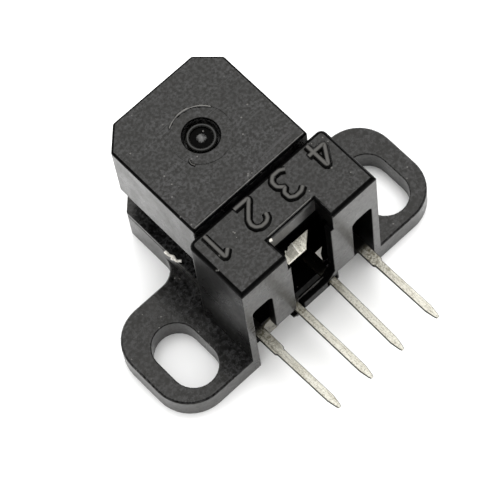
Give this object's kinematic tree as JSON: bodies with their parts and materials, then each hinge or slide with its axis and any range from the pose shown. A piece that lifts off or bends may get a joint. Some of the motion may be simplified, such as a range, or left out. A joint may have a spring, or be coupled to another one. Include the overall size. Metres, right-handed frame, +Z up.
{
  "type": "slotted optical encoder module",
  "caption": "Slotted optical encoder module: a code wheel turns in the gap between its two arms, ears with slots fasten it down, and terminals leave at the back.",
  "frame": {"origin": "midway between the two mounting slots, on the base plane", "axes": "+X along the row of terminals and from ear to ear, -Y the way the terminals leave, +Y the open end of the code wheel gap, +Z up from the base plane"},
  "size_m": [0.0202, 0.0184, 0.0108],
  "materials": {
    "black_moulding": "matt black moulding with a fine mould texture",
    "tinned_lead": "dull tin plate with fine drawing marks",
    "clear_resin": "clear moulded resin",
    "silicon_die": "polished silicon",
    "gold_wire": "bright fine wire"
  },
  "bodies": {
    "root": {"mounting_frame": "black_moulding", "emitter_housing": "black_moulding", "detector_window_plate": "black_moulding", "emitter_package": "clear_resin", "collimating_lens": "clear_resin", "led_chip": "silicon_die", "led_bond_wire": "gold_wire", "emitter_anode_lead": "tinned_lead", "emitter_cathode_lead": "tinned_lead", "detector_package": "clear_resin", "detector_chip": "silicon_die", "ground_terminal": "tinned_lead", "channel_a_terminal": "tinned_lead", "supply_terminal": "tinned_lead", "channel_b_terminal": "tinned_lead", "bond_wire_1": "gold_wire", "bond_wire_2": "gold_wire", "bond_wire_3": "gold_wire", "bond_wire_4": "gold_wire"}
  },
  "joints": []
}
